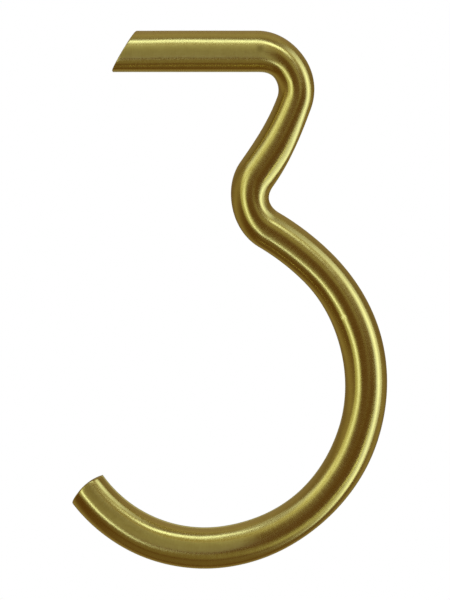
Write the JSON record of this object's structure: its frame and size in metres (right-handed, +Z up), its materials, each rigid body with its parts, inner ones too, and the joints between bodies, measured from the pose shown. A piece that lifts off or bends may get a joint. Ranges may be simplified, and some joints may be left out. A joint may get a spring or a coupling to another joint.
{
  "type": "house number",
  "caption": "House numeral in the form of a flat-topped 3: a half-round satin brass bar bent flat, with a flat back and blind tapped holes for hidden wall studs.",
  "frame": {"origin": "midway between the stud holes, on the flat back that lies against the wall", "axes": "+Z up the wall, +Y into the wall, out of the back; the front of the figure faces -Y and it reads from -Y with +X to its right"},
  "size_m": [0.0708, 0.0063, 0.1206],
  "materials": {
    "satin_brass": "satin"
  },
  "bodies": {
    "root": {"numeral": "satin_brass"}
  },
  "joints": []
}
